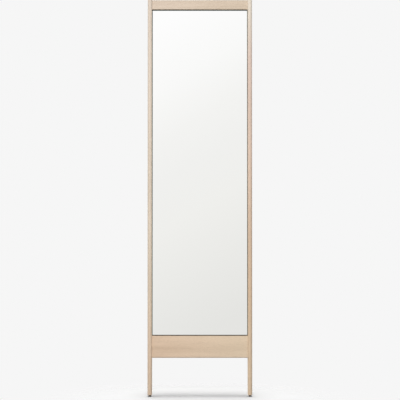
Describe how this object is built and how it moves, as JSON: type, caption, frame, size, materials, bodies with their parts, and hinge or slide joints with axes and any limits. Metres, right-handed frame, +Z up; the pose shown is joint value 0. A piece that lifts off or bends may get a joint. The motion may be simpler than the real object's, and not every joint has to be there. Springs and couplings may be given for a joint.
{
  "type": "leaning full-length mirror",
  "caption": "Tall narrow mirror in a pale oak frame whose round-fronted stiles run down as legs to the floor; leans on a wall and hooks to it by keyhole plates.",
  "frame": {"origin": "on the floor, midway between the legs and midway between the stile fronts and the wall buffers", "axes": "+X to the right seen from the front, +Y from the front to the wall, +Z up"},
  "size_m": [0.515, 0.034, 1.955],
  "materials": {
    "oak": "pale oak with a matt clear oil",
    "beech_dowel": "plain turned beech",
    "silvered_glass": "clear float glass, silvered on the back",
    "safety_film": "grey adhesive film",
    "foam_tape": "white foam tape",
    "setting_block": "black rubber",
    "black_panel": "fibreboard stained black, matt",
    "zinc_steel": "bright zinc plate",
    "buffer_rubber": "black rubber",
    "glide_plastic": "dark brown plastic"
  },
  "bodies": {
    "root": {"left_stile": "oak", "right_stile": "oak", "top_rail": "oak", "bottom_rail": "oak", "top_left_dowels": "beech_dowel", "top_right_dowels": "beech_dowel", "bottom_left_dowels": "beech_dowel", "bottom_right_dowels": "beech_dowel", "mirror_glass": "silvered_glass", "safety_film": "safety_film", "mounting_tapes": "foam_tape", "setting_blocks": "setting_block", "back_panel": "black_panel", "back_panel_side_screws": "zinc_steel", "back_panel_end_screws": "zinc_steel", "left_hanger_plate": "zinc_steel", "right_hanger_plate": "zinc_steel", "left_hanger_screws": "zinc_steel", "right_hanger_screws": "zinc_steel", "left_wall_buffer": "buffer_rubber", "right_wall_buffer": "buffer_rubber", "left_foot_glide": "glide_plastic", "right_foot_glide": "glide_plastic"}
  },
  "joints": []
}
